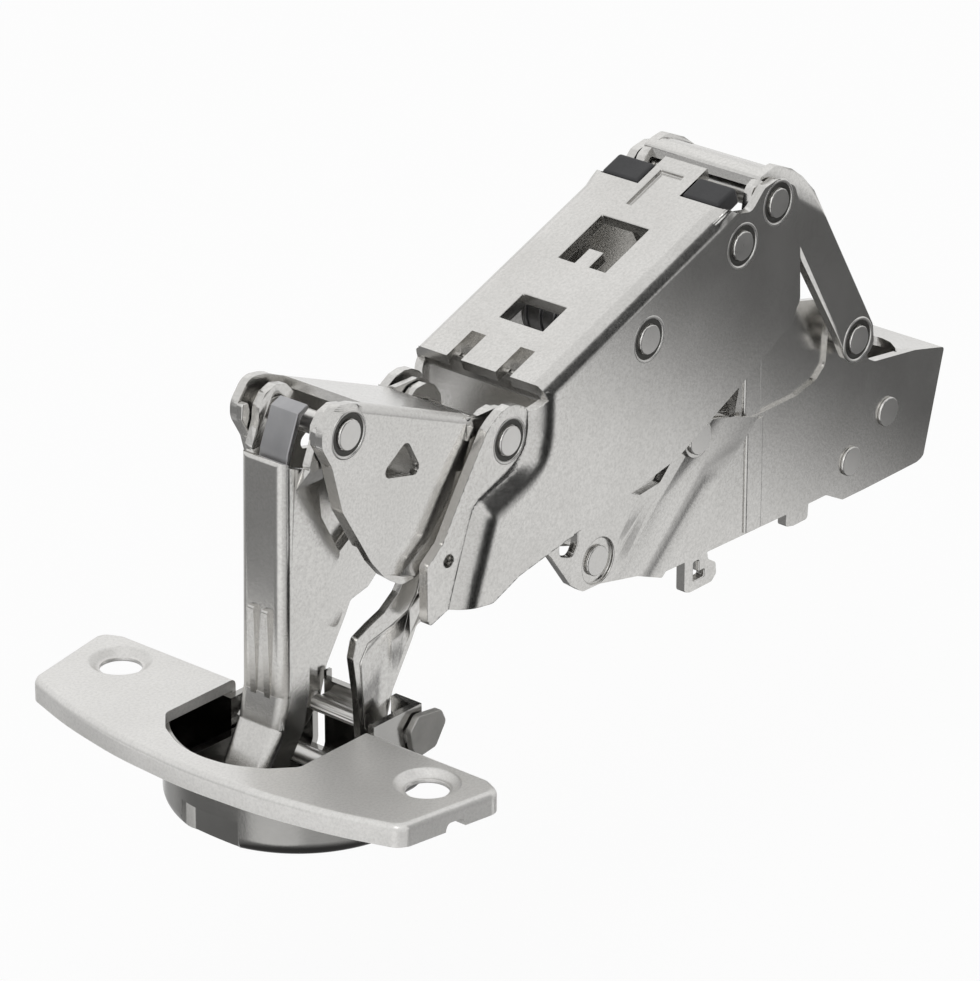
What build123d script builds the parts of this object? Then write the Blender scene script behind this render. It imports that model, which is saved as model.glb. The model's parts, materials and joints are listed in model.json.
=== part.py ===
from build123d import *
import os
from math import atan2, cos, degrees, hypot, radians, sin, tan

os.makedirs("parts", exist_ok=True)

# Pivot centres as (x, z), in the frame of the two cup screws
CUP_FRONT = (-4.5, -8.2)
CUP_REAR = (8.0, -8.5)
LEVER_TOP = (6.6, 38.9)
ARM_FRONT = (34.7, 29.2)
ARM_MIDDLE = (60.1, 35.4)
ARM_UPPER = (79.2, 42.5)
ARM_REAR = (86.6, 46.3)
BASE_REAR = (106.9, 20.0)
BASE_INNER = (95.7, 12.3)

# Sheets and the play between two sheets that pass each other
ARM_SHEET = 1.3
PLATE = 1.6
LINK_SHEET = 1.2
SIDE_PLAY = 0.25
PIN_R = 1.5
CUP_PIN_R = 1.25
RUNNING = 0.06
HEAD_R = 2.0
RING_R = 2.8
RING_DEPTH = 0.2
HEAD_RISE = 0.5

# Outer faces of the nested walls, from the arm inwards
ARM_OUT = 11.3
ARM_IN = ARM_OUT - ARM_SHEET
REAR_OUT = ARM_IN - SIDE_PLAY
REAR_IN = REAR_OUT - ARM_SHEET
SIDE_OUT = 8.0
SIDE_IN = SIDE_OUT - LINK_SHEET
BASE_OUT = SIDE_IN
BASE_IN = BASE_OUT - 1.4
FRONT_IN = SIDE_OUT + 0.15
FRONT_OUT = FRONT_IN + ARM_SHEET
LINK_OUT = FRONT_IN - SIDE_PLAY - 0.25
LINK_IN = LINK_OUT - LINK_SHEET
LINK_REAR_OUT = LINK_OUT - 0.35
VALLEY = 0.65
RIM_DEPTH = 0.85
BLADE_OUT = LINK_IN - SIDE_PLAY
BLADE_IN = BLADE_OUT - LINK_SHEET
EAR_OUT = 5.4
EAR_R = 3.4
WEB_START = 3.4
LEVER_OUT = 3.7
INNER_OUT = BASE_IN - 0.3
INNER_IN = INNER_OUT - LINK_SHEET

# Cup and flange
SCREW_SPACING = 52.0
SCREW_HOLE_R = 2.75
SCREW_SINK_R = 4.1
FLANGE = 1.5
FLANGE_RIM = 3.0
FLANGE_BACK = 5.8
CUP_R = 17.5
CUP_X = 5.5
CUP_DEPTH = 12.7
CUP_WALL = 1.0
TRAY_BACK = 16.0
TRAY_HALF = 11.0

CUP_PIN_HALF = 9.2
LUG_IN = 8.2
LUG_OUT = 9.6
DAMPER_FRONT = -4.0
DAMPER_GAP = 1.1
SWITCH_PIVOT = (13.6, -3.6)
SWITCH_SHEET = 0.95

# Top plate of the arm: its front edge and slope
PLATE_EDGE = (39.6, 35.2)
PLATE_SLOPE = 20.3

# Rivets and pressings of the base
BASE_RIVETS = ((118.0, 4.9), (109.8, 0.2))
SIDE_TOP = (74.0, 16.1)
SIDE_FRONT = (54.2, 5.1)
GROOVE = 0.7
SIDE_BOSS = 0.6
PANEL_DROP = 0.5
RIB_RISE = 0.35
BLIND = 0.8


def rounded_edges(points, radius, lift):
    count = len(points)
    starts = []
    ends = []
    mids = []
    for i in range(count):
        before, here, after = points[i - 1], points[i], points[(i + 1) % count]
        into = (here[0] - before[0], here[1] - before[1])
        away = (after[0] - here[0], after[1] - here[1])
        len_in, len_out = hypot(*into), hypot(*away)
        into = (into[0] / len_in, into[1] / len_in)
        away = (away[0] / len_out, away[1] / len_out)
        turn = atan2(into[0] * away[1] - into[1] * away[0], into[0] * away[0] + into[1] * away[1])
        want = here[2] if len(here) > 2 else radius
        reach = min(want * tan(abs(turn) / 2), 0.46 * len_in, 0.46 * len_out)
        if abs(turn) < radians(4) or reach < 0.03:
            starts.append(here[:2])
            ends.append(here[:2])
            mids.append(None)
            continue
        bend = reach / tan(abs(turn) / 2)
        start = (here[0] - into[0] * reach, here[1] - into[1] * reach)
        end = (here[0] + away[0] * reach, here[1] + away[1] * reach)
        side = ((away[0] - into[0]), (away[1] - into[1]))
        size = hypot(*side)
        drop = bend / cos(turn / 2) - bend
        starts.append(start)
        ends.append(end)
        mids.append((here[0] + side[0] / size * drop, here[1] + side[1] / size * drop))
    edges = []
    for i in range(count):
        if mids[i]:
            edges.append(Edge.make_three_point_arc(lift(*starts[i]), lift(*mids[i]), lift(*ends[i])))
        following = starts[(i + 1) % count]
        if hypot(following[0] - ends[i][0], following[1] - ends[i][1]) > 1e-4:
            edges.append(Edge.make_line(lift(*ends[i]), lift(*following)))
    return edges


def slab(points, y_low, y_high, radius=0.0):
    edges = rounded_edges(points, radius, lambda u, v: (u, y_low, v))
    return Solid.extrude(Face(Wire(edges)), Vector(0, y_high - y_low, 0))


def layer(points, z_low, z_high, radius=0.0):
    edges = rounded_edges(points, radius, lambda u, v: (u, v, z_low))
    return Solid.extrude(Face(Wire(edges)), Vector(0, 0, z_high - z_low))


def rod(centre, radius, y_low, y_high):
    middle = (y_low + y_high) / 2
    return Pos(centre[0], middle, centre[1]) * Rot(90, 0, 0) * Cylinder(radius, y_high - y_low)


def block(x_low, x_high, y_low, y_high, z_low, z_high):
    middle = ((x_low + x_high) / 2, (y_low + y_high) / 2, (z_low + z_high) / 2)
    return Pos(*middle) * Box(x_high - x_low, y_high - y_low, z_high - z_low)


def other_side(shape):
    return mirror(shape, about=Plane.XZ)


def pair(shape):
    return shape + other_side(shape)


def around(centre, radius, start, end, count):
    step = (end - start) / (count - 1)
    angles = [radians(start + step * i) for i in range(count)]
    return [(centre[0] + radius * cos(a), centre[1] + radius * sin(a)) for a in angles]


def jog(outer, inner, outer_high, inner_high, sheet):
    bodies = []
    for i in range(len(outer) - 1):
        top = [(outer[i], outer_high), (outer[i + 1], outer_high), (inner[i + 1], inner_high), (inner[i], inner_high)]
        high = [Vector(p[0], y, p[1]) for p, y in top]
        low = [Vector(p[0], y - sheet, p[1]) for p, y in top]
        faces = []
        for ring in (high, low):
            faces.append(Face(Wire.make_polygon([ring[0], ring[1], ring[2]])))
            faces.append(Face(Wire.make_polygon([ring[0], ring[2], ring[3]])))
        for j in range(4):
            k = (j + 1) % 4
            faces.append(Face(Wire.make_polygon([high[j], high[k], low[k], low[j]])))
        bodies.append(Solid(Shell(faces)))
    return bodies


def pin(centre, half, radius=PIN_R, head=HEAD_R):
    shape = rod(centre, radius, -half, half)
    for sign in (-1, 1):
        cap = rod(centre, head, half, half + HEAD_RISE)
        cap = chamfer(cap.edges().sort_by(Axis.Y)[-1], 0.15)
        shape += cap if sign > 0 else other_side(cap)
    return shape


def soften(shape, edges, radius):
    for size in (radius, 0.7 * radius, 0.4 * radius):
        try:
            return fillet(edges, size)
        except ValueError:
            continue
    return shape


def ring_seat(centre, outer):
    return rod(centre, RING_R, outer - RING_DEPTH, outer + 1)


def through(centre, radius):
    return rod(centre, radius, -20, 20)


def tilted(s_low, s_high, y_low, y_high, depth_low, depth_high):
    length, width, depth = s_high - s_low, y_high - y_low, depth_high - depth_low
    place = Pos(PLATE_EDGE[0], 0, PLATE_EDGE[1]) * Rot(0, -PLATE_SLOPE, 0)
    middle = Pos((s_low + s_high) / 2, (y_low + y_high) / 2, (depth_low + depth_high) / 2)
    return place * middle * Box(length, width, depth)


def make_main_arm():
    wall_outer = [(39.6, 35.2), (75.9, 48.62), (78.1, 47.3), (81.0, 46.7), (83.7, 49.2), (86.7, 49.7),
                  (90.1, 47.6), (91.3, 44.6), (91.8, 31.0), (89.7, 28.0), (80.3, 23.1), (66.3, 16.6),
                  (34.6, 11.0), (29.4, 9.0), (25.2, 9.6)]
    jog_outer = [(25.2, 9.6), (29.7, 21.0), (37.2, 24.0), (40.3, 27.3), (40.4, 33.2)]
    jog_inner = [(22.9, 9.9), (27.6, 22.6), (35.6, 24.9), (37.9, 26.6), (38.4, 32.0)]
    front = [(22.9, 9.9), (19.4, 8.8), (18.9, 9.8), (18.9, 17.1), (21.9, 19.3), (25.8, 25.3),
             (30.4, 31.9)] + around(ARM_FRONT, 4.7, 128, 52, 5)
    wall = slab([p + (0,) if p in (wall_outer[0], wall_outer[-1]) else p for p in wall_outer]
                + [p + (0,) for p in jog_outer[1:]], ARM_IN, ARM_OUT, 1.6)
    nose = slab([(22.9, 9.9, 0)] + front[1:] + [p + (0,) for p in jog_inner[:0:-1]], FRONT_IN, FRONT_OUT, 1.0)
    wall = wall + nose
    for piece in jog(jog_outer, jog_inner, ARM_OUT, FRONT_OUT, ARM_SHEET):
        wall += piece
    both = pair(wall)
    top = tilted(0, 38.4, -ARM_OUT, ARM_OUT, -PLATE, 0) + tilted(38.4, 44.5, -3.5, 3.5, -PLATE, 0)
    top -= tilted(9, 14, -3.6, 3.6, -5, 5)
    top -= tilted(21.8, 31.2, -3.9, 3.9, -5, 5) - tilted(21, 25, -1.2, 1.2, -5, 5)
    top -= tilted(34.4, 42, 1.5, 2.3, -0.5, 1) + tilted(41.2, 42, -1.5, 2.3, -0.5, 1)
    for sign in (-1, 1):
        low, high = sorted((sign * 2.9, sign * 5.3))
        top -= tilted(-1, 5.3, low, high, -5, 5)
    arm = both + top
    long_edges = [e for e in arm.edges() if e.length > 30 and abs(abs(e.center().Y) - ARM_OUT) < 0.01
                  and e.center().Z > 38]
    arm = soften(arm, long_edges, 1.2)
    for centre in (ARM_MIDDLE, ARM_UPPER, ARM_REAR):
        arm -= through(centre, PIN_R + RUNNING)
        arm -= pair(ring_seat(centre, ARM_OUT))
    arm -= through(ARM_FRONT, PIN_R + RUNNING)
    arm -= pair(ring_seat(ARM_FRONT, FRONT_OUT))
    arm -= through((23.0, 16.6), 0.9)
    return arm


def make_inner_channel():
    web = slab([(42.0, 34.2), (43.6, 32.6), (43.9, 30.6), (44.9, 30.6), (44.7, 33.0), (43.4, 34.7)],
               -ARM_IN, ARM_IN, 0.6)
    shelf = tilted(2.6, 20, -ARM_IN, ARM_IN, -PLATE - 1.0, -PLATE)
    shelf -= tilted(8.4, 14.6, -4.2, 4.2, -5, 5)
    return web + shelf


def make_link_box():
    wall = [(1.9, 40.6), (4.2, 43.4), (7.2, 42.9), (29.1, 34.0), (30.6, 31.0), (28.4, 24.6), (24.4, 18.8),
            (19.0, 15.4), (16.0, 15.2), (12.8, 17.6), (10.6, 20.2), (5.4, 28.9), (3.6, 35.5), (1.8, 38.6)]
    rim = [(1.9, 40.6), (3.0, 40.6), (4.7, 35.7), (6.4, 29.3), (10.2, 22.8), (9.3, 22.3), (5.4, 28.9),
           (3.6, 35.5), (1.8, 38.6)]
    bend = [(28.6, 33.4), (20.5, 26.0), (15.0, 19.9), (13.4, 17.6)]
    valley = [(28.7, 30.6), (26.2, 24.0), (22.3, 19.5), (16.6, 16.2)]
    ridge = [(30.4, 30.9), (27.6, 23.9), (23.6, 18.6), (18.6, 15.6)]
    rear = [(27.0, 34.8), (31.0, 33.2)] + around(ARM_FRONT, 4.0, 80, -110, 7) + [(27.0, 26.9), (24.0, 28.0)]
    near = slab(wall, LINK_IN, LINK_OUT, 2.5)
    for piece in jog(bend, valley, LINK_OUT + 1, LINK_OUT + 1 - VALLEY, 1.0):
        near -= piece
    for piece in jog(valley, ridge, LINK_OUT + 1 - VALLEY, LINK_OUT + 1, 1.0):
        near -= piece
    near += slab(rim, LINK_IN - RIM_DEPTH, LINK_IN + 0.1, 0.4)
    box = pair(near + slab(rear, LINK_IN, LINK_REAR_OUT, 0.8))
    slope = degrees(atan2(34.0 - 42.9, 29.1 - 7.2))
    length = hypot(34.0 - 42.9, 29.1 - 7.2)
    web = Pos(7.2, 0, 42.9) * Rot(0, -slope, 0) * Pos((WEB_START + length) / 2, 0, -LINK_SHEET / 2)
    box += web * Box(length - WEB_START, 2 * LINK_OUT, LINK_SHEET)
    edges = [e for e in box.edges() if e.length > 14 and abs(abs(e.center().Y) - LINK_OUT) < 0.01
             and e.center().Z > 36]
    box = soften(box, edges, 1.1)
    box -= slab([(17.4, 34.6), (12.0, 31.0), (20.4, 29.0)], -20, 20, 0.9)
    for centre in (LEVER_TOP, ARM_FRONT):
        box -= through(centre, PIN_R + RUNNING)
    box -= pair(ring_seat(LEVER_TOP, LINK_OUT))
    return box


def make_front_lever():
    side = [(-1.0, 36.0), (-1.4, 18.0), (-1.7, 4.6), (-2.6, 0.6), (-6.6, -6.2)]
    side += around(CUP_FRONT, 2.6, 150, 350, 6)
    side += [(-0.6, -4.5), (2.0, -1.0), (3.2, 4.0), (3.4, 10.2), (6.0, 12.2), (8.4, 10.9), (9.7, 12.9),
             (5.9, 16.1), (6.9, 18.5), (9.3, 20.6), (5.8, 27.0), (5.4, 31.5), (6.0, 33.0), (1.0, 35.0)]
    lever = pair(slab(side, LEVER_OUT - LINK_SHEET, LEVER_OUT, 0.8))
    web = slab([(-1.0, 36.0), (-1.4, 18.0), (-1.7, 4.6), (-2.6, 0.6), (-6.6, -6.2), (-5.4, -6.9), (-1.4, 0.0),
                (-0.5, 4.5), (-0.2, 18.0), (0.2, 36.0)], -LEVER_OUT, LEVER_OUT, 1.0)
    lever += web
    ear = around(LEVER_TOP, EAR_R, -40, 190, 8) + [(2.0, 35.4), (2.2, 34.6), (8.6, 34.6)]
    lever += pair(slab(ear, EAR_OUT - LINK_SHEET, EAR_OUT, 0.5))
    splay_low = [(1.2, 32.0), (6.0, 32.0)]
    splay_high = [(2.2, 35.0), (8.6, 35.0)]
    for piece in jog(splay_high, splay_low, EAR_OUT, LEVER_OUT, LINK_SHEET):
        lever += pair(piece)
    for y in (-1.15, 1.15):
        rib = Pos(-1.5, y, 10.2) * Rot(0, -1.4, 0) * Box(0.9, 1.0, 12)
        lever += soften(rib, rib.edges().group_by(Axis.X)[0], 0.35)
    lever -= through(LEVER_TOP, PIN_R + RUNNING)
    lever -= through(CUP_FRONT, CUP_PIN_R + RUNNING)
    return lever


def make_cup_lever():
    blade = [(22.6, 17.6), (18.6, 15.2), (17.2, 13.3), (14.7, 11.6), (12.0, 10.7), (9.3, 9.6), (8.6, 7.15),
             (9.5, 1.25), (9.9, -5.2), (6.4, -5.6), (6.4, -6.6), (9.9, -6.7), (10.2, -7.4), (12.0, -6.9),
             (14.6, -4.15), (16.0, 0.25), (19.6, 5.8), (20.6, 7.6), (24.0, 8.3), (30.2, 13.4)]
    blade += around(ARM_FRONT, 3.7, -40, 140, 7) + [(29.4, 26.0)]
    lever = pair(slab(blade, BLADE_IN, BLADE_OUT, 0.9))
    raised = [(23.6, 12.4), (21.4, 14.4), (20.6, 12.0), (19.0, 10.2), (15.5, 9.2), (11.5, 8.4), (9.9, 6.2),
              (10.2, 1.6), (10.6, -3.8), (14.6, -2.6), (15.8, 1.6), (19.2, 7.0), (22.4, 9.4)]
    lever += pair(slab(raised, BLADE_OUT - 0.1, BLADE_OUT + 0.15, 0.8))
    lever += slab([(27.0, 16.2), (30.4, 22.0), (31.3, 21.5), (27.9, 15.7)], -BLADE_OUT, BLADE_OUT)
    lever -= through(ARM_FRONT, PIN_R + RUNNING)
    return lever


def make_rear_link():
    edge = [(86.0, 50.4), (88.1, 50.7), (91.3, 49.3), (93.6, 47.6), (96.3, 44.8), (110.2, 21.2), (110.6, 17.9),
            (107.5, 16.4), (104.6, 17.8), (102.8, 21.1), (93.9, 35.5), (92.6, 39.3), (88.6, 42.4),
            (84.4, 42.6), (82.3, 45.4), (83.0, 48.8)]
    link = pair(slab(edge, REAR_IN, REAR_OUT, 1.6))
    roll = rod(ARM_REAR, 4.1, -REAR_OUT, REAR_OUT) - rod(ARM_REAR, 2.9, -REAR_OUT - 1, REAR_OUT + 1)
    keep = slab([(84.6, 46.5), (84.6, 53), (92, 53), (91.6, 48.4), (88.6, 46.9)], -REAR_OUT, REAR_OUT)
    link += roll & keep
    back = slab([(89.9, 48.8), (93.6, 47.6), (96.3, 44.8), (99.4, 39.6), (98.4, 39.0), (95.4, 44.0), (93.0, 46.6),
                 (89.4, 47.9)], -REAR_OUT, REAR_OUT, 1.0)
    link += back
    link -= through(ARM_REAR, PIN_R + RUNNING)
    link -= through(BASE_REAR, PIN_R + RUNNING)
    link -= pair(ring_seat(BASE_REAR, REAR_OUT))
    return link


def make_inner_link():
    start, end = BASE_INNER, ARM_UPPER
    lean = degrees(atan2(end[1] - start[1], end[0] - start[0]))
    eye = (end[0] + 0.6, end[1] + 0.35)
    shape = around(start, 3.2, lean + 90, lean + 270, 7) + around(eye, 3.8, lean - 90, lean + 90, 7)
    link = pair(slab(shape, INNER_IN, INNER_OUT, 0.6))
    middle = ((start[0] + end[0]) / 2, (start[1] + end[1]) / 2)
    web = Pos(middle[0], 0, middle[1]) * Rot(0, -lean, 0) * Pos(0, 0, -2.5)
    link += web * Box(16, 2 * INNER_OUT, 1.2)
    link -= through(start, PIN_R + RUNNING)
    link -= through(eye, PIN_R + 0.85)
    return link


def make_base_body():
    wall = [(63.2, 0.4), (60.6, 3.4), (66.0, 6.8), (70.6, 13.2), (71.4, 18.2), (76.6, 19.2), (82.0, 16.2),
            (86.0, 14.2), (89.4, 14.0), (97.5, 14.0), (101.6, 14.9), (103.7, 16.6), (104.0, 20.6),
            (104.6, 22.8), (106.9, 23.8), (110.3, 22.4), (112.2, 16.6), (113.4, 14.2), (114.9, 13.4),
            (124.2, 12.1), (131.0, 10.4), (126.9, -4.9), (125.4, -5.3), (113.6, -5.3), (108.4, -5.2),
            (104.6, -3.2), (96.4, -3.1), (86.0, -2.8), (68.2, -2.3)]
    panel = [(84.0, 13.0), (85.6, 19.6), (90.6, 24.6), (97.5, 27.6), (102.2, 26.4), (104.4, 22.6),
             (106.9, 21.5), (104.0, 16.0), (97.5, 13.0)]
    body = pair(slab(wall, BASE_IN, BASE_OUT, 1.2) + slab(panel, BASE_IN, BASE_OUT - PANEL_DROP, 1.2))
    body += slab([(128.0, 11.1), (131.0, 10.4), (126.9, -4.9), (125.4, -4.7), (129.0, 9.4), (122.0, 11.2),
                  (122.2, 12.4)], -BASE_OUT, BASE_OUT, 0.5)
    body -= layer([(121, 0), (121, 6), (122.5, 4.6), (124.6, 2.2), (125.4, 0), (124.6, -2.2), (122.5, -4.6),
                   (121, -6)], 9.5, 14)
    for sign in (-1, 1):
        for outer, low, high in ((BASE_OUT, -2.5, 13.6), (BASE_OUT - PANEL_DROP, 13.4, 22.0)):
            rib = block(86.3, 89.9, outer - 0.3, outer + RIB_RISE, low, high)
            rib = soften(rib, rib.edges().filter_by(Axis.Z).group_by(Axis.Y)[-1], 0.9 * RIB_RISE)
            body += rib if sign > 0 else other_side(rib)
    tab = slab([(73.8, -1.5), (73.8, -6.9), (75.0, -7.3), (79.6, -7.3), (80.6, -6.4), (80.4, -4.7), (78.8, -3.7),
                (78.4, -1.5)], BASE_IN, BASE_OUT, 0.6)
    tab -= slab([(75.7, -3.2), (75.7, -5.9), (78.0, -5.9), (78.0, -4.9), (76.8, -4.9), (76.8, -3.2)], 0, 20, 0.2)
    body += pair(tab)
    body += pair(slab([(95.8, -1.6), (95.7, -4.9), (97.4, -5.3), (100.5, -5.3), (100.8, -1.6)],
                      BASE_IN, BASE_OUT, 0.5))
    body += slab([(68.4, -2.1), (75, -2.1), (75, -1.1), (68.4, -1.1)], -BASE_OUT, BASE_OUT)
    body += slab([(114.5, -4.6), (122.0, -4.9), (122.0, -3.7), (114.5, -3.5)], -BASE_OUT, BASE_OUT)
    body -= through(BASE_REAR, PIN_R + RUNNING)
    body -= rod(BASE_INNER, PIN_R + RUNNING, -BASE_IN - BLIND, BASE_IN + BLIND)
    for centre in BASE_RIVETS + (SIDE_TOP,):
        body -= through(centre, PIN_R)
    return body


def make_side_plate():
    start = [(57.8, 1.0), (66.0, 8.7), (72.4, 14.2), (77.6, 17.4)]
    dip = [(63.2, -0.5), (71.4, 6.6), (77.4, 11.8), (83.2, 15.8)]
    end = [(67.5, -2.1), (75.6, 4.8), (83.4, 11.2), (87.6, 14.4)]
    flat = [(42.3, 11.3), (44.7, 9.0), (48.6, 3.6), (51.1, 1.8), (54.6, 1.7)] + [p + (0,) for p in start]
    flat += [(76.8, 19.2), (72.4, 19.2), (70.9, 16.4), (69.8, 14.8), (66.8, 12.0), (62.4, 11.6), (59.0, 13.6),
             (46.0, 15.2)]
    plate = slab(flat, SIDE_IN, SIDE_OUT, 1.0)
    for piece in jog(dip, start, SIDE_OUT - GROOVE, SIDE_OUT, LINK_SHEET - GROOVE):
        plate += piece
    for piece in jog(end, dip, SIDE_OUT, SIDE_OUT - GROOVE, LINK_SHEET - GROOVE):
        plate += piece
    plate += rod(SIDE_TOP, RING_R, SIDE_IN, SIDE_OUT + SIDE_BOSS)
    plate -= rod(SIDE_FRONT, 3.2, SIDE_OUT - HEAD_RISE, SIDE_OUT + 1)
    plate -= slab([(46.4, 12.4), (46.4, 8.4), (49.0, 7.4), (50.0, 9.0), (50.0, 12.4)], 0, 20, 1.0)
    plate -= rod(SIDE_FRONT, PIN_R, 0, 20)
    plate -= rod(SIDE_TOP, PIN_R, 0, 20)
    return plate


def make_rivet(centre, low, high, head=HEAD_R, inner_head=True):
    shape = rod(centre, PIN_R, low, high)
    cap = rod(centre, head, high, high + HEAD_RISE)
    shape += chamfer(cap.edges().sort_by(Axis.Y)[-1], 0.15)
    if inner_head:
        shape += rod(centre, head, low - 0.4, low)
    return shape


def make_flange():
    front = [(-16.4, 0.0), (-15.6, 12.0), (-13.6, 22.5), (-11.0, 30.6)]
    outline = [(front[-1][0], 30.6, 3.0), (-9.7, 31.5, 1.5), (4.4, 34.0, 3.0), (FLANGE_BACK, 31.0, 2.0)]
    edge = [(FLANGE_BACK, -31.0, 2.0), (4.4, -34.0, 3.0), (-9.7, -31.5, 1.5), (-11.0, -30.6, 3.0), (-13.6, -22.5, 60),
            (-15.6, -12.0, 60), (-16.4, 0.0, 60), (-15.6, 12.0, 60), (-13.6, 22.5, 60)]
    body = layer(outline + edge, -FLANGE_RIM, 0, 1.0)
    top_edges = body.edges().group_by(Axis.Z)[-1]
    body = soften(body, top_edges, 0.9)
    inner = [(x * 0.985 + (1.3 if x < 0 else -1.3), y - (1.3 if y > 0 else -1.3 if y < 0 else 0)) for x, y in
             ((-11.0, 30.0), (-9.0, 31.6), (3.6, 33.4), (6.6, 30.6), (6.6, -30.6), (3.6, -33.4), (-9.0, -31.6),
              (-11.0, -30.0), (-13.6, -22.5), (-15.6, -12.0), (-16.4, 0.0), (-15.6, 12.0), (-13.6, 22.5))]
    body -= layer(inner, -FLANGE_RIM - 1, -FLANGE, 1.0)
    gate = [(7.0, 11.4, 0), (7.0, -11.4, 0), (-7.0, -11.4, 1.5), (-10.0, -8.6, 3.0), (-12.3, -4.4, 12),
            (-12.9, 0.0, 12), (-12.3, 4.4, 12), (-10.0, 8.6, 3.0), (-7.0, 11.4, 1.5)]
    body -= layer(gate, -FLANGE_RIM - 1, 1, 1.0)
    for sign in (-1, 1):
        hole = Pos(0, sign * SCREW_SPACING / 2, 0)
        body -= hole * Cylinder(SCREW_HOLE_R, 8)
        body -= hole * Pos(0, 0, -0.45) * Cone(SCREW_HOLE_R + 0.3, SCREW_SINK_R, 0.9)
    arch = Pos(-2.5, 0, -FLANGE_RIM) * Rot(90, 0, 0) * Cylinder(1.5, 80)
    body -= arch & block(-6, 2, -40, 40, -4, -1.9)
    return body


def make_cup_shell():
    def solid(inset, z_low, z_high, bottom):
        disc = Pos(CUP_X, 0, (z_low + z_high) / 2) * Cylinder(CUP_R - inset, z_high - z_low)
        front = disc & block(-20, FLANGE_BACK - 1.4 - inset, -20, 20, z_low - 1, z_high + 1)
        tray = block(0, TRAY_BACK - inset, -TRAY_HALF + inset, TRAY_HALF - inset, z_low, z_high)
        both = front + tray
        return soften(both, both.faces().sort_by(Axis.Z)[0].edges(), bottom)
    shell = solid(0, -CUP_DEPTH, -FLANGE, 2.4) + block(7.0, TRAY_BACK, -TRAY_HALF, TRAY_HALF, -4, -0.1)
    recess = layer([(-14, 5.0), (-11.0, 4.8), (-9.9, 3.6), (-9.9, -3.6), (-11.0, -4.8), (-14, -5.0)],
                   -CUP_DEPTH - 1, -8.2, 1.0)
    shell -= recess
    cavity = solid(CUP_WALL, -CUP_DEPTH + CUP_WALL, -FLANGE + 3, 1.6)
    guard = layer([(-15, 6.0), (-10.4, 5.8), (-8.9, 4.2), (-8.9, -4.2), (-10.4, -5.8), (-15, -6.0)],
                  -CUP_DEPTH - 2, -7.1, 1.0)
    shell -= cavity - guard
    for sign in (-1, 1):
        low, high = sorted((sign * (BLADE_IN - 0.35), sign * (BLADE_OUT + 0.5)))
        shell -= block(TRAY_BACK - 1.6, TRAY_BACK + 1, low, high, -11.5, 2)
    shell -= block(TRAY_BACK - 1.6, TRAY_BACK + 1, -4.2, 4.2, -1.3, 2)
    foot = -CUP_DEPTH + 0.5 * CUP_WALL
    lug = slab([(-7.6, foot), (11.2, foot), (11.2, -7.2), (9.0, -5.6), (-5.4, -5.4), (-7.2, -7.0)],
               LUG_IN, LUG_OUT, 1.2)
    shell += pair(lug)
    for centre in (CUP_FRONT, CUP_REAR):
        shell -= rod(centre, CUP_PIN_R, -CUP_PIN_HALF, CUP_PIN_HALF)
    shell -= rod(SWITCH_PIVOT, 1.1, -TRAY_HALF - 1, -TRAY_HALF + CUP_WALL + 1)
    return shell


def make_damper_body():
    reach = ((CUP_R - CUP_WALL) ** 2 - (DAMPER_FRONT - CUP_X) ** 2) ** 0.5 - DAMPER_GAP
    return block(DAMPER_FRONT, DAMPER_FRONT + 7.0, -reach, -LUG_OUT - 0.05, -CUP_DEPTH + CUP_WALL + 0.9, -4.2)


NODES = {
    "cup_flange": make_flange(),
    "cup_shell": make_cup_shell(),
    "cup_front_pin": rod(CUP_FRONT, CUP_PIN_R, -CUP_PIN_HALF, CUP_PIN_HALF),
    "cup_rear_pin": rod(CUP_REAR, CUP_PIN_R, -CUP_PIN_HALF, CUP_PIN_HALF),
    "damper_body": make_damper_body(),
    "front_lever": make_front_lever(),
    "front_lever_pin": pin(LEVER_TOP, LINK_OUT - RING_DEPTH + 0.06),
    "link_box": make_link_box(),
    "cup_lever": make_cup_lever(),
    "main_arm": make_main_arm(),
    "arm_inner_channel": make_inner_channel(),
    "arm_front_pin": pin(ARM_FRONT, FRONT_OUT - RING_DEPTH),
    "arm_middle_pin": pin(ARM_MIDDLE, ARM_OUT - RING_DEPTH),
    "arm_upper_pin": pin(ARM_UPPER, ARM_OUT - RING_DEPTH),
    "arm_rear_pin": pin(ARM_REAR, ARM_OUT - RING_DEPTH),
    "rear_link": make_rear_link(),
    "inner_link": make_inner_link(),
    "base_body": make_base_body(),
    "base_rear_pin": pin(BASE_REAR, REAR_OUT - RING_DEPTH + 0.06),
    "base_inner_pin": rod(BASE_INNER, PIN_R, -BASE_IN - BLIND + 0.1, BASE_IN + BLIND - 0.1),
}

fan = slab([(13.0, -5.0), (12.6, -2.6), (14.2, -0.9), (18.5, -1.5), (19.4, -3.4), (17.4, -6.3), (13.9, -6.7)],
           -TRAY_HALF - 0.25 - SWITCH_SHEET, -TRAY_HALF - 0.25, 0.9)
NODES["damper_switch"] = fan + rod(SWITCH_PIVOT, 1.0, -TRAY_HALF - 0.4, -TRAY_HALF + CUP_WALL + 0.8)
NODES["damper_rod"] = block(13.2, TRAY_BACK - CUP_WALL, -4.4, 4.4, -4.6, -3.2) + rod((13.2, -3.9), 1.1, -4.4, 4.4)
NODES["spring_leaf"] = slab([(0.3, 31.0), (1.4, 36.4), (3.4, 41.2), (5.2, 41.9), (5.5, 41.3), (4.0, 40.4),
                             (2.2, 36.2), (1.0, 31.0)], -2.3, 2.3, 0.2)
pad = tilted(38.5, 42.6, 3.7, ARM_IN - 0.2, -2.4, 0.2)
pad = soften(pad, pad.edges(), 0.5)
NODES["stop_pads"] = pair(pad)
coil = rod(ARM_MIDDLE, 3.9, -7.0, 7.0) - rod(ARM_MIDDLE, PIN_R, -8, 8)
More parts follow.
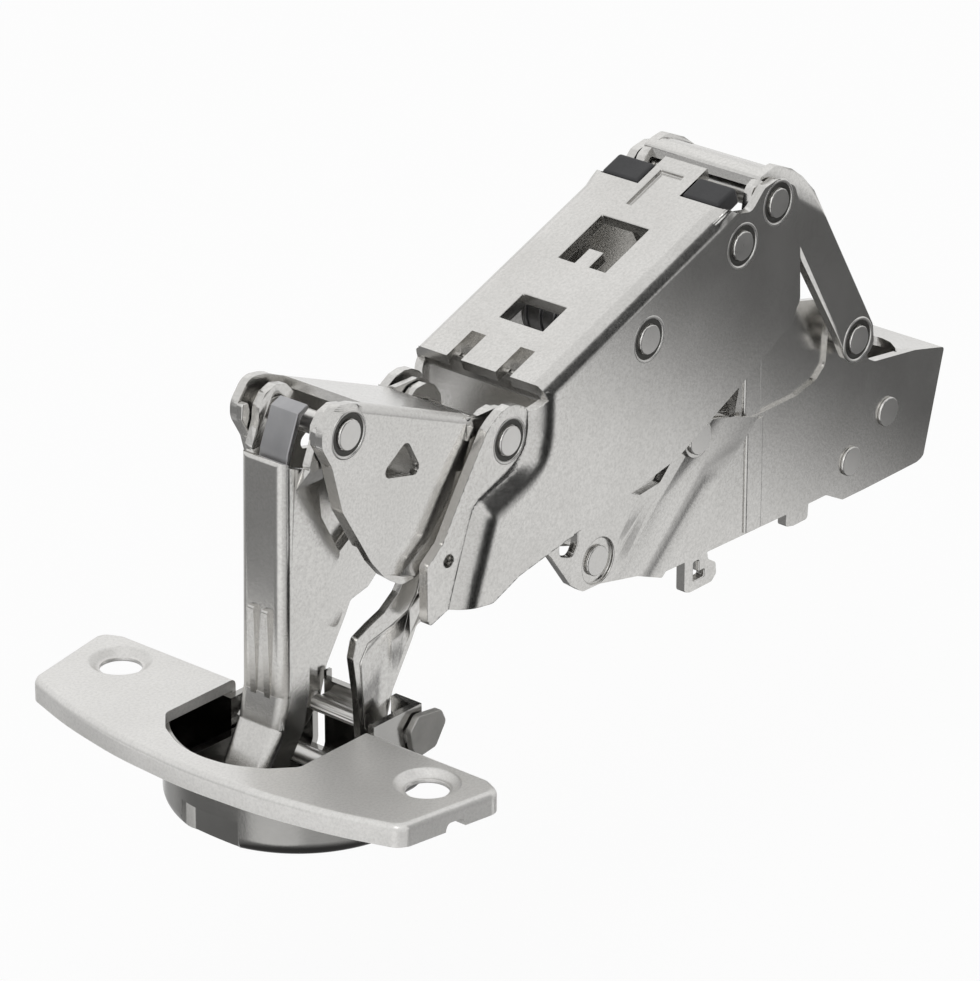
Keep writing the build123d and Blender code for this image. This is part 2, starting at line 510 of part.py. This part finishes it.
for i in range(6):
    coil -= rod(ARM_MIDDLE, 5, -6.2 + i * 2.4, -5.8 + i * 2.4) - rod(ARM_MIDDLE, 3.4, -7, 7)
NODES["closing_spring"] = coil
plate = make_side_plate()
NODES["side_plate_left"] = other_side(plate)
NODES["side_plate_right"] = plate
top_rivet = make_rivet(SIDE_TOP, BASE_IN, SIDE_OUT + SIDE_BOSS, 2.2)
front_rivet = make_rivet(SIDE_FRONT, SIDE_IN, SIDE_OUT - HEAD_RISE, 2.1, False)
NODES["side_top_rivets"] = pair(top_rivet)
NODES["side_front_rivets"] = pair(front_rivet)
rivets = [make_rivet(c, BASE_IN, BASE_OUT, 2.1) for c in BASE_RIVETS]
NODES["base_rivets"] = pair(rivets[0]) + pair(rivets[1])

for name, shape in NODES.items():
    solids = shape.solids()
    export_step(Compound(children=list(solids)) if len(solids) > 1 else solids[0], f"parts/{name}.step")
    print(name, len(solids), round(sum(s.volume for s in solids), 1))
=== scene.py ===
import bmesh
import bpy
import json
import math
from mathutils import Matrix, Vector


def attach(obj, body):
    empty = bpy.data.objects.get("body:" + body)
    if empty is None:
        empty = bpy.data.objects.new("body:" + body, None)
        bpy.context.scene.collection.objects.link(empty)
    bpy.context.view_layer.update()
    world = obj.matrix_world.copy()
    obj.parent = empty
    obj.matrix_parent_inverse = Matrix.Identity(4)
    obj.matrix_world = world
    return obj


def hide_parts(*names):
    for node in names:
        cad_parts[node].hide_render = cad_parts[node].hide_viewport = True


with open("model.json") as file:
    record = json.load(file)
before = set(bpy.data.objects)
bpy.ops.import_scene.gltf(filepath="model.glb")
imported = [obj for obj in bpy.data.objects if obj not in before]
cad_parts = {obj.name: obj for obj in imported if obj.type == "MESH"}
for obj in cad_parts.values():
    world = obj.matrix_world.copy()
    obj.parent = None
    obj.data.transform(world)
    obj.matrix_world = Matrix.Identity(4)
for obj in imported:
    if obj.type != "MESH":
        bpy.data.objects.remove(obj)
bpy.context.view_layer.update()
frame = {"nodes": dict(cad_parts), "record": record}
nodes = frame["nodes"]
bpy.ops.object.select_all(action="DESELECT")
print("frame loaded")


class Wire:
    # a socket that can be added, multiplied and so on
    def __init__(self, paint, socket):
        self.paint = paint
        self.socket = socket

    def maths(self, operation, first, second=None, third=None):
        values = {0: first}
        if second is not None:
            values[1] = second
        if third is not None:
            values[2] = third
        return self.paint.node("ShaderNodeMath", {"operation": operation}, values)

    def __add__(self, other):
        return self.maths("ADD", self, other)

    def __radd__(self, other):
        return self.maths("ADD", other, self)

    def __sub__(self, other):
        return self.maths("SUBTRACT", self, other)

    def __rsub__(self, other):
        return self.maths("SUBTRACT", other, self)

    def __mul__(self, other):
        return self.maths("MULTIPLY", self, other)

    def __rmul__(self, other):
        return self.maths("MULTIPLY", other, self)

    def __pow__(self, other):
        return self.maths("POWER", self, other)

    def clamp(self, low=0.0, high=1.0):
        return self.maths("MINIMUM", self.maths("MAXIMUM", self, low), high)


class Paint:
    # one material or world and its nodes
    def __init__(self, name, store=bpy.data.materials, output="ShaderNodeOutputMaterial"):
        self.material = store.new(name)
        self.material.use_nodes = True
        self.tree = self.material.node_tree
        self.tree.nodes.clear()
        self.output = self.tree.nodes.new(output)

    def put(self, socket, value):
        if isinstance(value, Wire):
            self.tree.links.new(value.socket, socket)
        else:
            socket.default_value = value

    def node(self, kind, settings, values, out=0):
        made = self.tree.nodes.new(kind)
        for key, value in settings.items():
            if key == "stops":
                for i, (place, colour) in enumerate(value):
                    stops = made.color_ramp.elements
                    stop = stops[i] if i < 2 else stops.new(place)
                    stop.position = place
                    stop.color = (*colour, 1)
            else:
                setattr(made, key, value)
        for key, value in values.items():
            self.put(made.inputs[key], value)
        return Wire(self, made.outputs[out])

    def place(self, scale=(1, 1, 1), turn=(0, 0, 0)):
        coords = self.node("ShaderNodeTexCoord", {}, {}, "Object")
        return self.node("ShaderNodeMapping", {}, {"Vector": coords, "Scale": scale, "Rotation": turn})

    def noise(self, where, scale, detail=3.0, rough=0.55):
        return self.node("ShaderNodeTexNoise", {}, {"Vector": where, "Scale": scale, "Detail": detail,
                                                    "Roughness": rough})

    def mixColour(self, factor, first, second):
        return self.node("ShaderNodeMix", {"data_type": "RGBA"}, {0: factor, 6: first, 7: second}, 2)

    def ramp(self, value, low, high, start=0.0, end=1.0):
        return self.node("ShaderNodeMapRange", {"interpolation_type": "SMOOTHSTEP"},
                         {0: value, 1: low, 2: high, 3: start, 4: end})

    def axis(self, vector, name):
        split = self.node("ShaderNodeSeparateXYZ", {}, {0: vector})
        return Wire(self, split.socket.node.outputs[name])

    def bump(self, height, strength, distance):
        return self.node("ShaderNodeBump", {}, {"Strength": strength, "Distance": distance, "Height": height})

    def surface(self, values):
        shader = self.node("ShaderNodeBsdfPrincipled", {}, values)
        self.tree.links.new(shader.socket, self.output.inputs["Surface"])
        return self.material


nickel = {"pale": (0.72, 0.71, 0.69, 1), "dark": (0.60, 0.59, 0.57, 1), "grain": 2600.0, "cloud": 95.0,
          "rough": 0.165, "spread": 0.11, "bump": 0.34, "depth": 0.00003, "fleck": 0.34, "metal": 1.0}


def sheetNickel(name, values):
    paint = Paint(name)
    where = paint.place()
    cloud = paint.noise(where, values["cloud"], 4.0)
    grain = paint.noise(where, values["grain"], 2.0, 0.7)
    streak = paint.noise(paint.place((1, 0.15, 1)), values["cloud"] * 9, 3.0)
    tone = paint.mixColour((cloud * 1.6 - 0.3).clamp(), values["dark"], values["pale"])
    tone = paint.mixColour((grain * 2.2 - 0.85).clamp() * values["fleck"], tone, (0.36, 0.355, 0.34, 1))
    rough = (cloud * 0.7 + streak * 0.3) * values["spread"] + values["rough"] + (grain - 0.5) * 0.14
    normal = paint.bump(grain, values["bump"], values["depth"])
    return paint.surface({"Base Color": tone, "Roughness": rough, "Metallic": values["metal"],
                          "Normal": normal})


def plainMetal(name, pale, dark, rough, scale):
    paint = Paint(name)
    where = paint.place()
    cloud = paint.noise(where, scale, 4.0)
    grain = paint.noise(where, scale * 12, 2.0, 0.7)
    tone = paint.mixColour((cloud * 1.8 - 0.4).clamp(), dark, pale)
    return paint.surface({"Base Color": tone, "Roughness": cloud * 0.12 + grain * 0.1 + rough,
                          "Metallic": 1.0, "Normal": paint.bump(grain, 0.12, 0.00003)})


def matPlastic(name, colour, lighter, rough):
    paint = Paint(name)
    where = paint.place()
    grain = paint.noise(where, 1800.0, 3.0, 0.6)
    cloud = paint.noise(where, 160.0, 3.0)
    tone = paint.mixColour((cloud * 1.5 - 0.3).clamp() * 0.6, colour, lighter)
    return paint.surface({"Base Color": tone, "Roughness": grain * 0.18 + rough, "Metallic": 0.0,
                          "Normal": paint.bump(grain, 0.25, 0.00004)})


# the cup flange uses a rougher satin copy of the sheet nickel; its lighter colour is painted light
satinNickel = dict(nickel, pale=(0.80, 0.79, 0.77, 1), dark=(0.71, 0.70, 0.68, 1), rough=0.29, spread=0.08, metal=0.6)
# the cup shell uses a copy of the sheet nickel whose darker colour is painted shade
cupNickel = dict(nickel, pale=(0.44, 0.435, 0.42, 1), dark=(0.30, 0.295, 0.285, 1), rough=0.12, spread=0.08)
finishes = {
    "nickel_sheet": sheetNickel("nickelSheet", nickel),
    "polished_pin": plainMetal("polishedPin", (0.78, 0.77, 0.75, 1), (0.66, 0.65, 0.63, 1), 0.2, 220.0),
    "black_plastic": matPlastic("blackPlastic", (0.018, 0.018, 0.02, 1), (0.05, 0.05, 0.052, 1), 0.42),
    "grey_plastic": matPlastic("greyPlastic", (0.12, 0.12, 0.125, 1), (0.2, 0.2, 0.205, 1), 0.45),
    "dull_zinc": plainMetal("dullZinc", (0.5, 0.49, 0.47, 1), (0.36, 0.355, 0.34, 1), 0.42, 300.0),
    "spring_steel": plainMetal("springSteel", (0.5, 0.5, 0.51, 1), (0.38, 0.38, 0.39, 1), 0.3, 180.0),
}
ownFinish = {"cup_flange": sheetNickel("satinNickel", satinNickel), "cup_shell": sheetNickel("cupNickel", cupNickel)}
print("materials made")

bodyOf = {name: body for body, names in frame["record"]["behaviour"]["bodies"].items() for name in names}
slotOf = {part["node"]: part["material_slot"] for part in frame["record"]["subparts"]}
edgeRound = {"cut": 0.00018, "bend": 0.0011, "low": 22, "high": 74, "smooth": 48, "bendSteps": 4, "cutSteps": 2}


def roundChains(mesh, low, high, width, steps):
    # edges that hang together are rounded as one, so a tight spot on one chain doesn't hold the others back
    mark = mesh.edges.layers.int.new("chain")
    left = {edge for edge in mesh.edges if len(edge.link_faces) == 2
            and low < math.degrees(edge.calc_face_angle(0)) <= high}
    chains = []
    while left:
        chain = [left.pop()]
        for edge in chain:
            for corner in edge.verts:
                for other in corner.link_edges:
                    if other in left:
                        left.remove(other)
                        chain.append(other)
        chains.append(chain)
    widths = []
    for number, chain in enumerate(chains):
        widths.append(min(width, 0.45 * max(edge.calc_length() for edge in chain)))
        for edge in chain:
            edge[mark] = number + 1
    for number, size in enumerate(widths):
        edges = [edge for edge in mesh.edges if edge[mark] == number + 1]
        for edge in edges:
            edge[mark] = 0
        bmesh.ops.bevel(mesh, geom=edges, offset=size, offset_type="OFFSET", segments=steps, profile=0.5,
                        affect="EDGES", clamp_overlap=True)
    mesh.edges.layers.int.remove(mark)


# the joggle of the arm's walls: middle line in mm, faces of wall and nose, and how the sheet rises between them
joggle = {"line": [(22.9, 5.0), (24.05, 9.75), (27.7, 19.3), (28.65, 21.8), (31.0, 22.6), (36.4, 24.45), (39.1, 26.95),
                   (39.4, 32.6), (39.6, 38.0)],
          "outer": (0.00945, 0.0113), "inner": (0.00815, 0.0100), "start": -0.0013, "run": 0.0043, "power": 2.3,
          "box": (0.0190, 0.0462, 0.0085, 0.0346), "step": 0.0004, "eye": (0.0347, 0.0292), "eyeR": 0.0034}


def softLine(points, rounds):
    for _ in range(rounds):
        cut = [points[0]]
        for a, b in zip(points, points[1:]):
            cut.append((a[0] * 0.75 + b[0] * 0.25, a[1] * 0.75 + b[1] * 0.25))
            cut.append((a[0] * 0.25 + b[0] * 0.75, a[1] * 0.25 + b[1] * 0.75))
        points = cut + [points[-1]]
    return points


def nearestOn(line, x, z):
    # signed distance from a line of points, positive on its right, with the place and the side direction
    best = None
    for (ax, az), (bx, bz) in zip(line, line[1:]):
        dx, dz = bx - ax, bz - az
        long = math.hypot(dx, dz)
        share = ((x - ax) * dx + (z - az) * dz) / long ** 2
        held = min(max(share, 0), 1)
        gap = math.dist((x, z), (ax + dx * held, az + dz * held))
        if best is None or gap < best[0] - 1e-9:
            right = ((x - ax) * dz - (z - az) * dx) / long
            best = (gap, right, (dz / long, -dx / long))
    return best


def cutFaces(mesh, cuts, wanted):
    for place, normal in cuts:
        faces = [f for f in mesh.faces if wanted(f)]
        parts = set(faces)
        for f in faces:
            parts.update(f.edges)
            parts.update(f.verts)
        bmesh.ops.bisect_plane(mesh, geom=list(parts), dist=0.000001, plane_co=place, plane_no=normal)


# folded corners of the sheet: line of the corner in mm from the side, half width of the piece, radius
folds = {
    "front_lever": {"line": [(-6.6, -6.2), (-2.6, 0.6), (-1.7, 4.6), (-1.4, 18.0), (-1.0, 36.0)],
                    "side": 3.7, "radius": 1.5, "steps": 7, "fade": (0.01, 0.01)},
    "link_box": {"line": [(8.2, 42.5), (29.1, 34.0)], "side": 7.7, "radius": 1.5, "steps": 7, "fade": (1.6, 0.01)},
    "main_arm": {"line": [(39.6, 35.2), (75.6, 48.5)], "side": 11.3, "radius": 2.3, "steps": 9, "fade": (0.01, 2.4)},
}


def rollFold(mesh, fold):
    # the corner is cut into fine strips along the fold, then drawn in to a round bend
    radius = fold["radius"] / 1000
    side = fold["side"] / 1000
    line = [(x / 1000, z / 1000) for x, z in fold["line"]]
    cuts = []
    spans = [math.dist(a, b) for a, b in zip(line, line[1:])]
    for (ax, az), (bx, bz), long in zip(line, line[1:], spans):
        along = Vector(((bx - ax) / long, 0, (bz - az) / long))
        ends = {0.0, long}
        if (bx, bz) == line[-1]:
            ends.update(long - fold["fade"][1] / 1000 * share for share in (0.33, 0.66, 1))
        if (ax, az) == line[0]:
            ends.update(fold["fade"][0] / 1000 * share for share in (0.33, 0.66, 1))
        cuts += [(Vector((ax, 0, az)) + along * end, along) for end in sorted(ends)]
    for i in range(fold["steps"], 0, -1):
        inset = radius * i / fold["steps"]
        for sign in (-1, 1):
            cuts.append((Vector((0, sign * (side - inset), 0)), Vector((0, 1, 0))))
        for (ax, az), (bx, bz) in zip(line, line[1:]):
            long = math.dist((ax, az), (bx, bz))
            across = ((bz - az) / long, -(bx - ax) / long)
            cuts.append((Vector((ax + across[0] * inset, 0, az + across[1] * inset)),
                         Vector((across[0], 0, across[1]))))

    def near(face):
        for v in face.verts:
            if side - radius * 0.99 < abs(v.co.y) < side + 0.00002:
                gap, depth, across = nearestOn(line, v.co.x, v.co.z)
                if gap < radius * 0.99:
                    return True
        return False

    cutFaces(mesh, cuts, near)
    slack = 0.00002
    for v in mesh.verts:
        inset = side - abs(v.co.y)
        if not -slack < inset < radius:
            continue
        gap, depth, across = nearestOn(line, v.co.x, v.co.z)
        if not -slack < depth < radius or gap > abs(depth) + slack:
            continue
        away = math.hypot(radius - depth, radius - inset)
        fromStart = math.dist((v.co.x, v.co.z), line[0]) / fold["fade"][0] * 1000
        fromEnd = math.dist((v.co.x, v.co.z), line[-1]) / fold["fade"][1] * 1000
        if away > radius:
            share = 1 - (1 - radius / away) * min(1, fromStart, fromEnd)
            inward = (radius - depth) * (1 - share)
            v.co.x += across[0] * inward
            v.co.z += across[1] * inward
            v.co.y = math.copysign(side - (radius - (radius - inset) * share), v.co.y)
    mesh.normal_update()


def pressJoggle(mesh):
    # the walls are cut into a fine grid near the joggle, then pressed to a smooth curve
    left, right, low, high = joggle["box"]
    line = [(x / 1000, z / 1000) for x, z in softLine(joggle["line"], 3)]
    cuts = [(Vector((left + i * joggle["step"], 0, 0)), Vector((1, 0, 0)))
            for i in range(round((right - left) / joggle["step"]) + 1)]
    cuts += [(Vector((0, 0, low + i * joggle["step"])), Vector((0, 0, 1)))
             for i in range(round((high - low) / joggle["step"]) + 1)]
    cutFaces(mesh, cuts, lambda f: abs(f.normal.y) > 0.4
             and min(v.co.x for v in f.verts) < right and max(v.co.x for v in f.verts) > left
             and min(v.co.z for v in f.verts) < high and max(v.co.z for v in f.verts) > low)
    mesh.normal_update()
    moves = []
    for v in mesh.verts:
        x, z = v.co.x, v.co.z
        if not (left - 0.001 < x < right and low - 0.001 < z < high) or abs(v.co.y) < 0.0080:
            continue
        if math.dist((x, z), joggle["eye"]) < joggle["eyeR"]:
            continue
        side = 1 if v.co.y > 0 else -1
        facing = [f.normal.y * side for f in v.link_faces]
        if max(facing) > 0.4:
            levels = joggle["outer"]
        elif min(facing) < -0.4:
            levels = joggle["inner"]
        else:
            continue
        gap, right_of, across = nearestOn(line, x, z)
        best = math.copysign(gap, right_of)
        rise = min(max((best - joggle["start"]) / joggle["run"], 0), 1)
        height = 1 - (1 - rise) ** joggle["power"]
        if rise < 0.16:
            height *= (rise / 0.16) ** 0.7
        moves.append((v, side * (levels[0] + (levels[1] - levels[0]) * height)))
    for v, y in moves:
        v.co.y = y


def roundedPiece(name, cut, bend):
    # a copy of the CAD node with its triangles joined, its bends rounded and its cut edges broken
    source = nodes[name]
    piece = bpy.data.objects.new(name + "Finished", source.data.copy())
    bpy.context.collection.objects.link(piece)
    bpy.ops.object.select_all(action="DESELECT")
    piece.select_set(True)
    bpy.context.view_layer.objects.active = piece
    bpy.ops.object.mode_set(mode="EDIT")
    bpy.ops.mesh.select_all(action="SELECT")
    bpy.ops.mesh.remove_doubles(threshold=0.000002)
    bpy.ops.mesh.dissolve_limited(angle_limit=math.radians(0.6))
    bpy.ops.object.mode_set(mode="OBJECT")
    mesh = bmesh.new()
    mesh.from_mesh(piece.data)
    if name == "main_arm":
        pressJoggle(mesh)
    if name in folds:
        rollFold(mesh, folds[name])
    if bend:
        roundChains(mesh, edgeRound["low"], edgeRound["high"], bend, edgeRound["bendSteps"])
    roundChains(mesh, edgeRound["high"], 180, cut, edgeRound["cutSteps"])
    mesh.to_mesh(piece.data)
    mesh.free()
    bpy.ops.object.shade_smooth_by_angle(angle=math.radians(edgeRound["smooth"]))
    even = piece.modifiers.new("even", "WEIGHTED_NORMAL")
    even.mode = "FACE_AREA"
    even.weight = 90
    even.keep_sharp = True
    bpy.ops.object.modifier_apply(modifier="even")
    piece.data.materials.clear()
    piece.data.materials.append(ownFinish.get(name, finishes[slotOf[name]]))
    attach(piece, bodyOf[name])
    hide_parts(name)
    return piece


for name, node in nodes.items():
    if "pin" in name or "rivet" in name:
        roundedPiece(name, 0.00012, 0)
    else:
        roundedPiece(name, edgeRound["cut"], edgeRound["bend"])
print("pieces finished")

# the flared collar round each large rivet head, and inside it a nearly flat dark ring, a painted shadow between head
# and collar: node of the head, body that carries the sheet it sits on
collars = {"radius": 0.0030, "wire": 0.00027, "groove": 0.00046, "heads": [
    ("arm_front_pin", "arm"), ("arm_middle_pin", "arm"), ("arm_upper_pin", "arm"), ("arm_rear_pin", "arm"),
    ("base_rear_pin", "rear_link_body"), ("front_lever_pin", "link")]}
# very dark metal for that inner ring: it paints the shadow between head and collar
collarShade = plainMetal("collarShade", (0.16, 0.158, 0.15, 1), (0.10, 0.10, 0.095, 1), 0.4, 300.0)
for name, body in collars["heads"]:
    corners = [node.co for node in nodes[name].data.vertices]
    middle = [(min(c[i] for c in corners) + max(c[i] for c in corners)) / 2 for i in (0, 2)]
    outside = max(abs(c[1]) for c in corners) - 0.0005
    for side in (-1, 1):
        # the collar is a raised ring; the second, nearly flat dark ring is painted shadow, not a cut groove
        for part, radius, wire in (("Collar", collars["radius"], collars["wire"]),
                                   ("Groove", (collars["radius"] + 0.0020) / 2, collars["groove"])):
            bpy.ops.mesh.primitive_torus_add(major_radius=radius, minor_radius=wire, major_segments=56,
                                             minor_segments=10)
            ring = bpy.context.object
            ring.name = name + part + ("Near" if side < 0 else "Far")
            flat = 0.9 if part == "Collar" else 0.12
            for vertex in ring.data.vertices:
                x, y, z = vertex.co
                vertex.co = (middle[0] + x, side * (outside + flat * z + 0.00002), middle[1] + y)
            if side < 0:
                ring.data.flip_normals()
            bpy.ops.object.shade_smooth()
            ring.data.materials.append(finishes["polished_pin"] if part == "Collar" else collarShade)
            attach(ring, body)
print("collars made")

floorLook = {"height": -0.075, "size": 6.0, "colour": (0.93, 0.93, 0.93, 1), "lift": 0.86}
bpy.ops.mesh.primitive_plane_add(size=floorLook["size"], location=(0, 0, floorLook["height"]))
floor = bpy.context.object
floor.name = "studioFloor"
floorPaint = Paint("studioFloor")
rays = floorPaint.node("ShaderNodeLightPath", {}, {}, "Is Camera Ray")
glossyRay = Wire(floorPaint, rays.socket.node.outputs["Is Glossy Ray"])
diffuse = floorPaint.node("ShaderNodeBsdfDiffuse", {}, {"Color": floorLook["colour"]})
bright = floorPaint.node("ShaderNodeEmission", {}, {"Color": (1, 1, 1, 1), "Strength": 1.0})
blend = floorPaint.node("ShaderNodeMixShader", {}, {0: rays * floorLook["lift"], 1: diffuse, 2: bright})
clear = floorPaint.node("ShaderNodeBsdfTransparent", {}, {})
blend = floorPaint.node("ShaderNodeMixShader", {}, {0: glossyRay, 1: blend, 2: clear})
floorPaint.tree.links.new(blend.socket, floorPaint.output.inputs["Surface"])
floor.data.materials.append(floorPaint.material)

# a graded card beside the object that only mirror reflections of the walls see, so they darken towards the rear
card = {"beside": -0.05, "left": -0.06, "width": 0.36, "low": -0.12, "height": 0.2, "shift": (0.0454, -0.0271),
        "turn": 55, "from": 0.047, "to": 0.079, "bright": 0.97, "dark": 0.13,
        "aim": (0.69, -0.594, -0.413), "inner": 9, "outer": 15}
bpy.ops.mesh.primitive_plane_add(size=1.0)
gradedCard = bpy.context.object
gradedCard.name = "gradedCard"
for vertex in gradedCard.data.vertices:
    vertex.co = (card["left"] + card["width"] * (vertex.co.x + 0.5), card["beside"],
                 card["low"] + card["height"] * (vertex.co.y + 0.5))
cardPaint = Paint("gradedCard")
spot = cardPaint.node("ShaderNodeNewGeometry", {}, {}, "Position")
towards = Wire(cardPaint, spot.socket.node.outputs["Incoming"])
turn = math.radians(card["turn"])
along = cardPaint.axis(spot, "X") * math.cos(turn) + cardPaint.axis(spot, "Z") * math.sin(turn)
along = along - (card["shift"][0] * math.cos(turn) + card["shift"][1] * math.sin(turn))
level = cardPaint.ramp(along, card["from"], card["to"], card["bright"], card["dark"])
facing = cardPaint.node("ShaderNodeVectorMath", {"operation": "DOT_PRODUCT"},
                        {0: towards, 1: [-value for value in card["aim"]]}, "Value")
near = cardPaint.ramp(facing, math.cos(math.radians(card["outer"])), math.cos(math.radians(card["inner"])))
clear = cardPaint.node("ShaderNodeBsdfTransparent", {}, {})
shade = cardPaint.node("ShaderNodeEmission", {}, {"Color": (1, 1, 1, 1), "Strength": level})
blend = cardPaint.node("ShaderNodeMixShader", {}, {0: near, 1: clear, 2: shade})
cardPaint.tree.links.new(blend.socket, cardPaint.output.inputs["Surface"])
gradedCard.data.materials.append(cardPaint.material)
gradedCard.visible_camera = False
gradedCard.visible_diffuse = False
gradedCard.visible_transmission = False
gradedCard.visible_shadow = False

# a small bright card that the rim of the flange reflects
rimCard = {"before": -0.036, "left": -0.05, "width": 0.11, "low": -0.0165, "height": 0.0115, "level": 1.0}
bpy.ops.mesh.primitive_plane_add(size=1.0)
rimLight = bpy.context.object
rimLight.name = "rimCard"
for vertex in rimLight.data.vertices:
    vertex.co = (rimCard["before"], rimCard["left"] + rimCard["width"] * (vertex.co.x + 0.5),
                 rimCard["low"] + rimCard["height"] * (vertex.co.y + 0.5))
rimPaint = Paint("rimCard")
shade = rimPaint.node("ShaderNodeEmission", {}, {"Color": (1, 1, 1, 1), "Strength": rimCard["level"]})
rimPaint.tree.links.new(shade.socket, rimPaint.output.inputs["Surface"])
rimLight.data.materials.append(rimPaint.material)
for sight in ("visible_camera", "visible_diffuse", "visible_transmission", "visible_shadow"):
    setattr(rimLight, sight, False)

# soft panels and flags round the object: azimuth, height, inner and outer half width in degrees, level
panels = [
    (38, -6, 14, 40, 0.95),
    (139, -24, 18, 44, 0.26),
    (-125, 2, 18, 40, 0.86),
    (-160, -25, 12, 26, 1.05),
    (-22, -31, 9, 17, 0.02),
    (-41, -24, 9, 15, 0.5),
    (-69, -32, 8, 14, 0.01),
    (-67, -14, 9, 15, 0.01),
    (-61, 6, 10, 16, 0.01),
    (-67, 24, 10, 16, 0.01),
    (-67, 40, 9, 15, 0.01),
    (-82, -10, 8, 13, 0.01),
    (-82, -26, 7, 12, 0.01),
]
sky = Paint("studio", bpy.data.worlds, "ShaderNodeOutputWorld")
bpy.context.scene.world = sky.material
direction = sky.node("ShaderNodeTexCoord", {}, {}, "Generated")
light = sky.ramp(sky.axis(direction, "Z"), -0.35, 0.35, 0.55, 0.9)
light = light * sky.ramp(sky.axis(direction, "Z"), -0.95, -0.5, 0.12, 1.0)
for azimuth, rise, inner, outer, level in panels:
    turn, tip = math.radians(azimuth), math.radians(rise)
    aim = (math.cos(turn) * math.cos(tip), math.sin(turn) * math.cos(tip), math.sin(tip))
    facing = sky.node("ShaderNodeVectorMath", {"operation": "DOT_PRODUCT"}, {0: direction, 1: aim}, "Value")
    mask = sky.ramp(facing, math.cos(math.radians(outer)), math.cos(math.radians(inner)))
    light = light + (level - light) * mask
cameraRay = sky.node("ShaderNodeLightPath", {}, {}, "Is Camera Ray")
around = sky.node("ShaderNodeBackground", {}, {"Color": (1, 1, 1, 1), "Strength": light})
backdrop = sky.node("ShaderNodeBackground", {}, {"Color": (1, 1, 1, 1), "Strength": 1.0})
both = sky.node("ShaderNodeMixShader", {}, {0: cameraRay, 1: around, 2: backdrop})
sky.tree.links.new(both.socket, sky.output.inputs["Surface"])

lamps = [
    {"name": "keyLamp", "place": (-0.55, -0.35, 0.75), "size": 0.4, "power": 1.0},
    {"name": "backLamp", "place": (0.5, 0.6, 0.6), "size": 0.5, "power": 0.15},
]
centre = Vector((0.055, 0, 0.02))
for lamp in lamps:
    data = bpy.data.lights.new(lamp["name"], "AREA")
    data.size = lamp["size"]
    data.energy = lamp["power"]
    source = bpy.data.objects.new(lamp["name"], data)
    bpy.context.collection.objects.link(source)
    source.location = lamp["place"]
    source.rotation_euler = (centre - source.location).to_track_quat("-Z", "Y").to_euler()

cameraView = {"place": (-0.4584, -0.4304, 0.3164), "along": (0.6904, 0.5939, -0.4131), "lens": 206.9}
cameraData = bpy.data.cameras.new("photoCamera")
cameraData.lens = cameraView["lens"]
cameraData.sensor_width = 36.0
cameraData.clip_start = 0.01
camera = bpy.data.objects.new("photoCamera", cameraData)
bpy.context.collection.objects.link(camera)
camera.location = cameraView["place"]
camera.rotation_euler = Vector(cameraView["along"]).to_track_quat("-Z", "Y").to_euler()
bpy.context.scene.camera = camera
bpy.context.scene.view_settings.view_transform = "Standard"
print("light and camera set")
